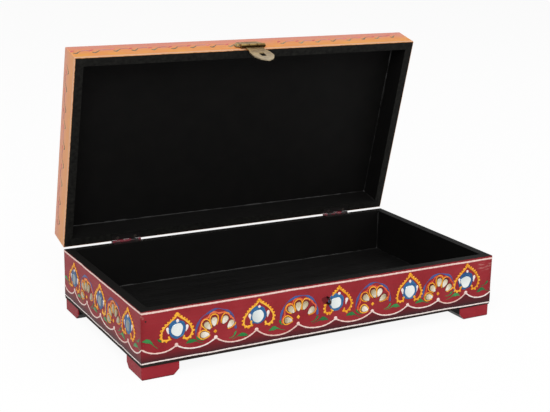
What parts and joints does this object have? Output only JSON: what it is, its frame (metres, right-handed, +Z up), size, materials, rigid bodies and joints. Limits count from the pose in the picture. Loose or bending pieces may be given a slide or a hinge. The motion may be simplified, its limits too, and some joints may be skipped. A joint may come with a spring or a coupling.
{
  "type": "jewellery box",
  "caption": "Low rectangular wooden jewellery box on block feet with a hinged lid and a brass hasp; red painted base with raised floral ornament, orange lid sides, black inside.",
  "frame": {"origin": "middle of the bounding box with the lid open as in the rest pose, on the plane that the feet stand on", "axes": "+X to the right along the long front, +Y to the back where the hinges are, +Z up"},
  "size_m": [0.3, 0.188, 0.2119],
  "materials": {
    "red_paint": "satin",
    "lid_paint": "satin",
    "black_paint": "satin",
    "painted_hinge": "satin",
    "brass": "tarnished",
    "steel_wire": "dull"
  },
  "bodies": {
    "base": {"base_back_wall": "red_paint", "base_corner_nails": "steel_wire", "base_front_wall": "red_paint", "base_left_wall": "red_paint", "base_right_wall": "red_paint", "bottom_panel": "black_paint", "bottom_panel_nails": "steel_wire", "foot_back_left": "red_paint", "foot_back_right": "red_paint", "foot_front_left": "red_paint", "foot_front_right": "red_paint", "foot_nails": "steel_wire", "hinge_base_nails": "steel_wire", "hinge_left_base_leaf": "painted_hinge", "hinge_left_pin": "steel_wire", "hinge_right_base_leaf": "painted_hinge", "hinge_right_pin": "steel_wire", "latch_staple": "brass"},
    "lid": {"lid_back_wall": "lid_paint", "lid_corner_nails": "steel_wire", "lid_front_wall": "lid_paint", "lid_left_wall": "lid_paint", "lid_right_wall": "lid_paint", "lid_top_nails": "steel_wire", "lid_top_panel": "lid_paint", "hinge_left_lid_leaf": "painted_hinge", "hinge_right_lid_leaf": "painted_hinge", "hinge_lid_nails": "steel_wire", "latch_plate": "brass", "latch_pin": "brass", "latch_nails": "brass"},
    "hasp": {"latch_hasp": "brass"}
  },
  "joints": [
    {"name": "lid_hinge", "type": "hinge", "parent": "base", "child": "lid", "pos_m": [0, 0.07233, 0.05065], "axis": [-1, 0, 0], "range_deg": [-75.6, 104.4]},
    {"name": "hasp_swing", "type": "hinge", "parent": "lid", "child": "hasp", "pos_m": [-0.003, 0.0349, 0.20912], "axis": [-1, 0, 0], "range_deg": [0, 170]}
  ]
}
